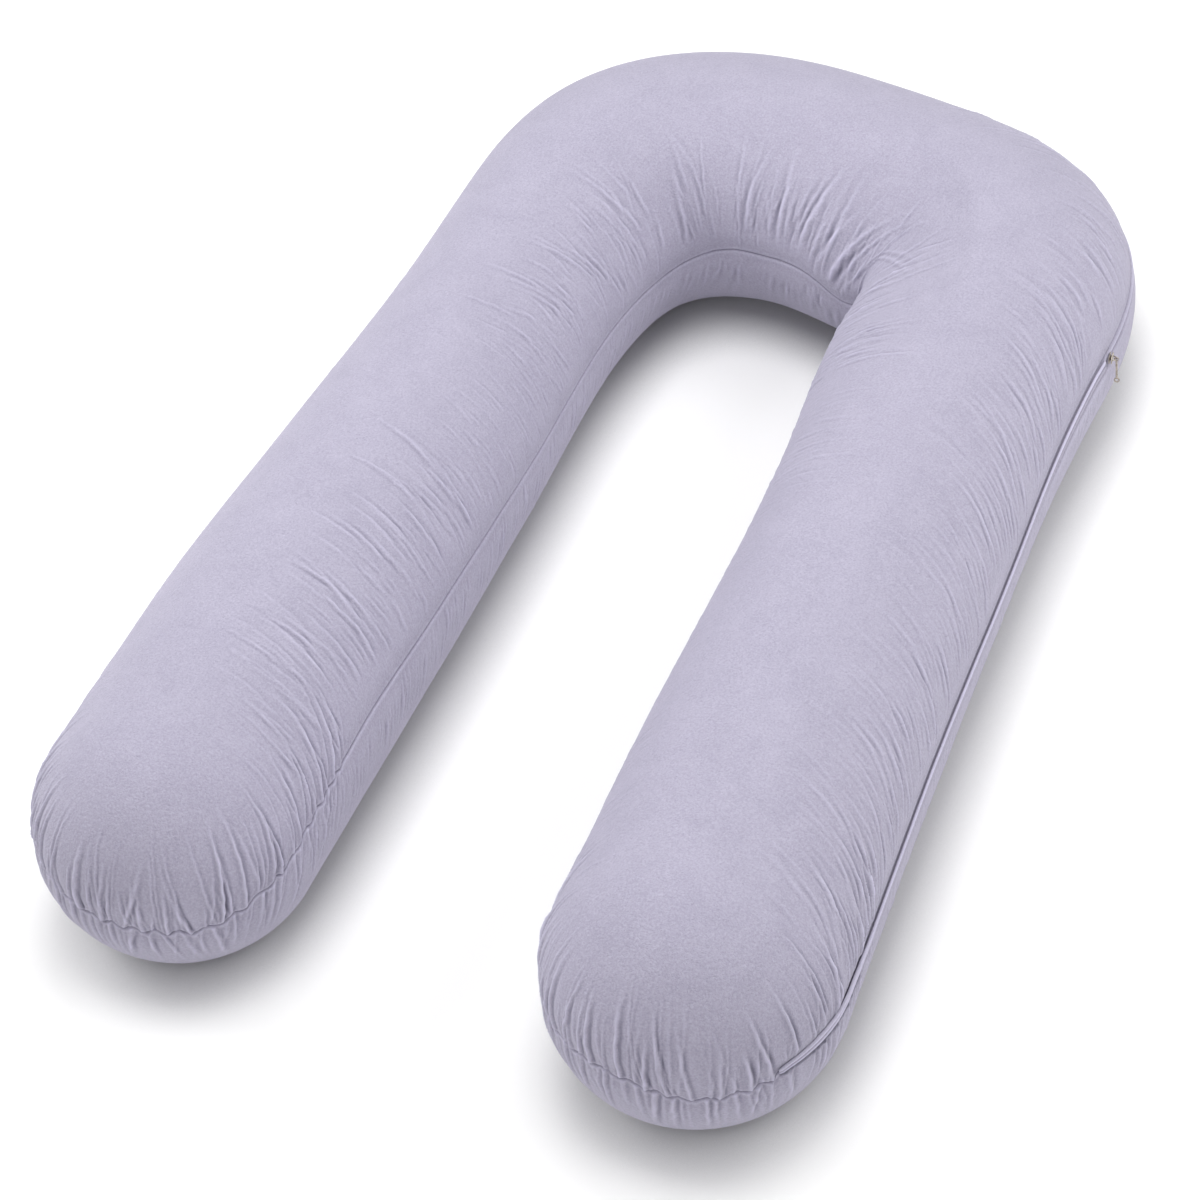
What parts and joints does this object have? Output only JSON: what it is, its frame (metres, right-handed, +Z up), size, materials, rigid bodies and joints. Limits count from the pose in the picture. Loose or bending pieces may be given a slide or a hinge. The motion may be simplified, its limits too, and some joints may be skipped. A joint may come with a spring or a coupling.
{
  "type": "U-shaped body pillow",
  "caption": "Full-length U-shaped body pillow in a velvet cover, gathered at the leg ends and the bend, with a zip hidden along one outer seam.",
  "frame": {"origin": "on the surface that the pillow lies on, under the middle of its outline", "axes": "+Y from the open leg ends to the bend, +X to the leg with the zip, +Z up"},
  "size_m": [0.8602, 1.406, 0.2485],
  "materials": {
    "velvet_cover": "short-pile velvet knit, pale lilac",
    "nickel": "antique nickel plate"
  },
  "bodies": {
    "root": {"pillow": "velvet_cover", "zip_flap": "velvet_cover", "zip_slider": "nickel", "zip_pull": "nickel"}
  },
  "joints": []
}
